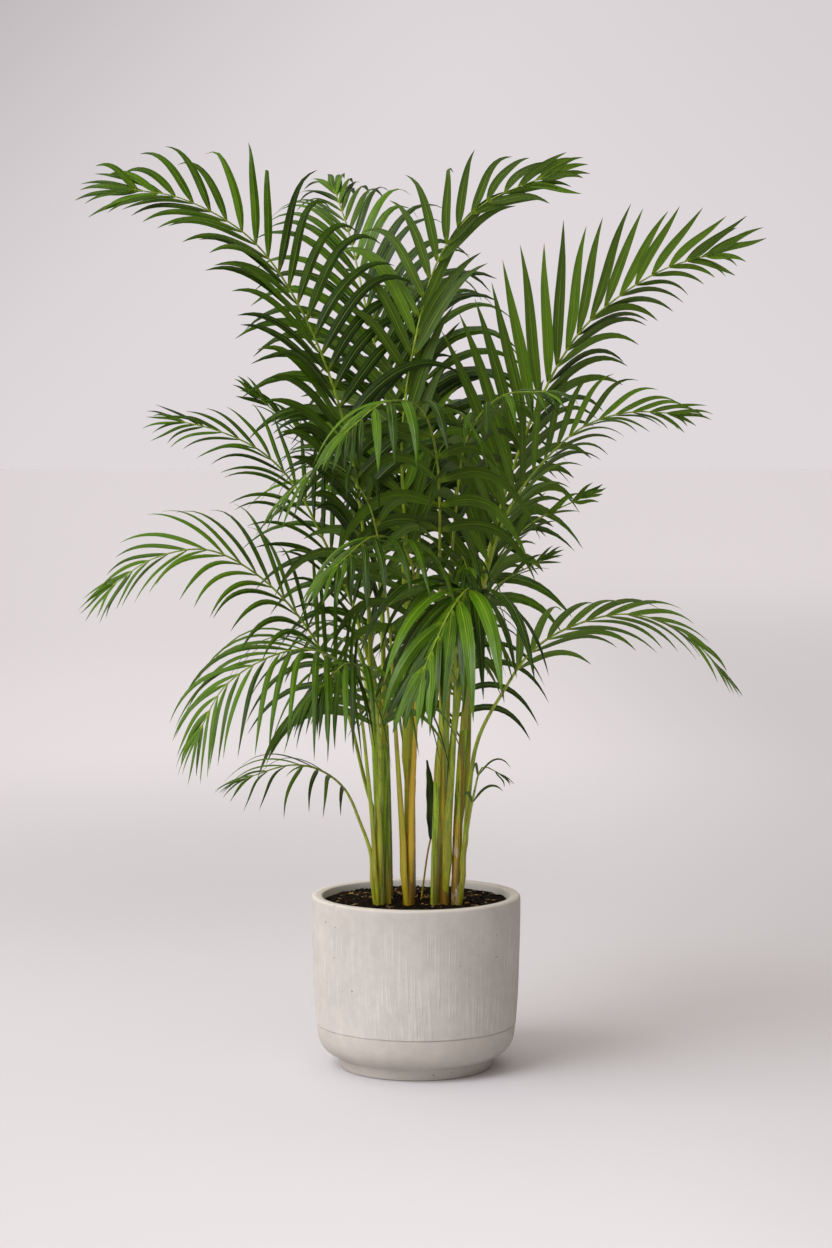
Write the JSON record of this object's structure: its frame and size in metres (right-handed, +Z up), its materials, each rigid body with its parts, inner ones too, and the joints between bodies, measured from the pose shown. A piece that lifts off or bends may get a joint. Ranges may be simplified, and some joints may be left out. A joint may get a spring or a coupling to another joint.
{
  "type": "potted palm",
  "caption": "Potted areca palm: upright canes rooted in a round cast pot of soil, with arching feather-shaped fronds of narrow drooping leaflets.",
  "frame": {"origin": "centre of the pot's foot, on the surface it stands on", "axes": "+Z up along the pot's axis, -Y the front, +X to the right seen from the front"},
  "size_m": [0.7631, 0.7532, 1.0902],
  "materials": {
    "pot": "matte",
    "soil": "matte",
    "cane": "satin",
    "leaf": "satin"
  },
  "bodies": {
    "root": {"pot": "pot", "soil": "soil", "cane_left_front": "cane", "cane_left_rear": "cane", "cane_centre": "cane", "cane_slim": "cane", "cane_right": "cane", "cane_right_outer": "cane", "cane_back_left": "cane", "cane_back_centre": "cane", "cane_back_right": "cane", "spear_leaf": "leaf", "frond_top_left": "leaf", "frond_mid_left": "leaf", "frond_low_left": "leaf", "frond_low_arching": "leaf", "frond_upper_mid_left": "leaf", "frond_inner_left": "leaf", "frond_top_middle": "leaf", "frond_front_middle": "leaf", "frond_core_left": "leaf", "frond_front_low": "leaf", "frond_front_upper": "leaf", "frond_right_inner": "leaf", "frond_right_arching": "leaf", "frond_right_sprig": "leaf", "frond_right_low": "leaf", "frond_right_middle": "leaf", "frond_core_right": "leaf", "frond_top_right": "leaf", "frond_right_young": "leaf", "frond_upper_left_young": "leaf", "frond_crown": "leaf", "frond_back_left": "leaf", "frond_back_low_left": "leaf", "frond_back_top": "leaf", "frond_back_right": "leaf", "frond_back_low_right": "leaf"}
  },
  "joints": []
}
